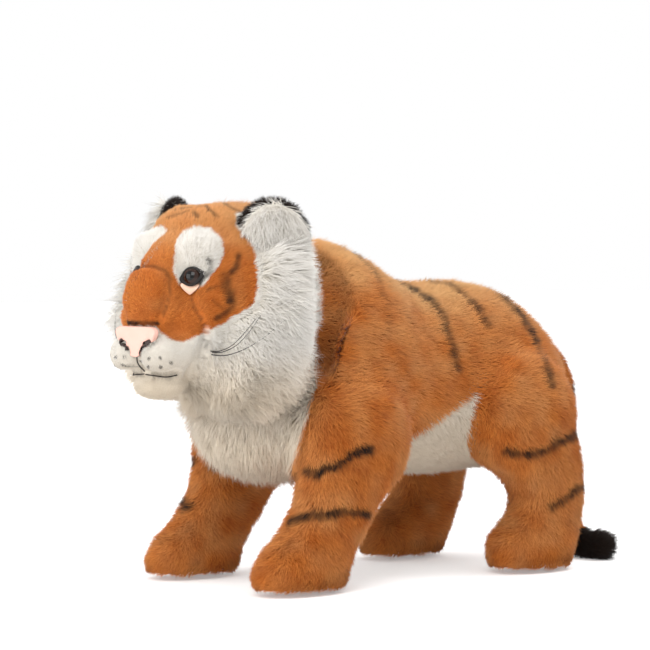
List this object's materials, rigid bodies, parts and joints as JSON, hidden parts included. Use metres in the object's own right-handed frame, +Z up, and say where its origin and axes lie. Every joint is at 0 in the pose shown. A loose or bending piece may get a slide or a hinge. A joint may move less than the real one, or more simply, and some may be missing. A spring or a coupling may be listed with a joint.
{
  "type": "plush tiger",
  "caption": "Stuffed toy tiger standing on its paws, with a turning and nodding head, wired legs that swing a little at shoulder and hip, and a hanging tail.",
  "frame": {"origin": "on the floor, under the middle of the toy's bounding box", "axes": "+Z up, nose towards -Y, the tiger's left side towards +X"},
  "size_m": [0.2242, 0.532, 0.3407],
  "materials": {
    "orange_fur": "short dense pile, rust orange with dark brown stripes",
    "white_fur": "soft white pile, long on the cheeks",
    "cream_fur": "long off-white pile",
    "black_fur": "short black pile",
    "nose_skin": "matt pink with darker nostrils",
    "eye_plastic": "glossy dark brown dome with a black pupil",
    "washer_plastic": "plain moulded plastic",
    "frame_wire": "plain drawn wire",
    "whisker_bristle": "thin black bristle"
  },
  "bodies": {
    "torso": {"torso": "orange_fur", "chest_bib": "cream_fur", "belly_panel": "white_fur", "spine_wire": "frame_wire"},
    "neck": {"neck": "orange_fur", "neck_wire": "frame_wire"},
    "head": {"head": "orange_fur", "head_wire": "frame_wire", "muzzle": "white_fur", "nose_bridge": "orange_fur", "nose": "nose_skin", "chin": "white_fur", "eye_left": "eye_plastic", "eye_washer_left": "washer_plastic", "ear_left": "black_fur", "ear_lining_left": "white_fur", "cheek_ruff_left": "white_fur", "whisker_left_1": "whisker_bristle", "whisker_left_2": "whisker_bristle", "whisker_left_3": "whisker_bristle", "eye_right": "eye_plastic", "eye_washer_right": "washer_plastic", "ear_right": "black_fur", "ear_lining_right": "white_fur", "cheek_ruff_right": "white_fur", "whisker_right_1": "whisker_bristle", "whisker_right_2": "whisker_bristle", "whisker_right_3": "whisker_bristle"},
    "front_leg_left": {"front_leg_left": "orange_fur", "front_leg_left_wire": "frame_wire"},
    "front_leg_right": {"front_leg_right": "orange_fur", "front_leg_right_wire": "frame_wire"},
    "hind_leg_left": {"hind_leg_left": "orange_fur", "hind_leg_left_wire": "frame_wire"},
    "hind_leg_right": {"hind_leg_right": "orange_fur", "hind_leg_right_wire": "frame_wire"},
    "tail_upper": {"tail_upper": "orange_fur"},
    "tail_lower": {"tail_lower": "orange_fur", "tail_tip": "black_fur"}
  },
  "joints": [
    {"name": "head_turn", "type": "hinge", "parent": "torso", "child": "neck", "pos_m": [-0.00215, -0.07889, 0.227], "axis": [0, 0, 1], "range_deg": [-23, 7]},
    {"name": "head_nod", "type": "hinge", "parent": "neck", "child": "head", "pos_m": [-0.00215, -0.07889, 0.227], "axis": [0.9903, 0.1392, 0], "range_deg": [-7, 7]},
    {"name": "front_leg_left_swing", "type": "hinge", "parent": "torso", "child": "front_leg_left", "pos_m": [0.07485, -0.06589, 0.131], "axis": [1, 0, 0], "range_deg": [-12, 12]},
    {"name": "front_leg_right_swing", "type": "hinge", "parent": "torso", "child": "front_leg_right", "pos_m": [-0.07915, -0.06589, 0.131], "axis": [1, 0, 0], "range_deg": [-12, 12]},
    {"name": "hind_leg_left_swing", "type": "hinge", "parent": "torso", "child": "hind_leg_left", "pos_m": [0.07485, 0.13411, 0.143], "axis": [1, 0, 0], "range_deg": [-12, 12]},
    {"name": "hind_leg_right_swing", "type": "hinge", "parent": "torso", "child": "hind_leg_right", "pos_m": [-0.07915, 0.13411, 0.143], "axis": [1, 0, 0], "range_deg": [-12, 12]},
    {"name": "tail_lift", "type": "hinge", "parent": "torso", "child": "tail_upper", "pos_m": [-0.00215, 0.23211, 0.192], "axis": [1, 0, 0], "range_deg": [0, 50]},
    {"name": "tail_bend", "type": "hinge", "parent": "tail_upper", "child": "tail_lower", "pos_m": [-0.00215, 0.25311, 0.112], "axis": [1, 0, 0], "range_deg": [-2, 40]}
  ]
}
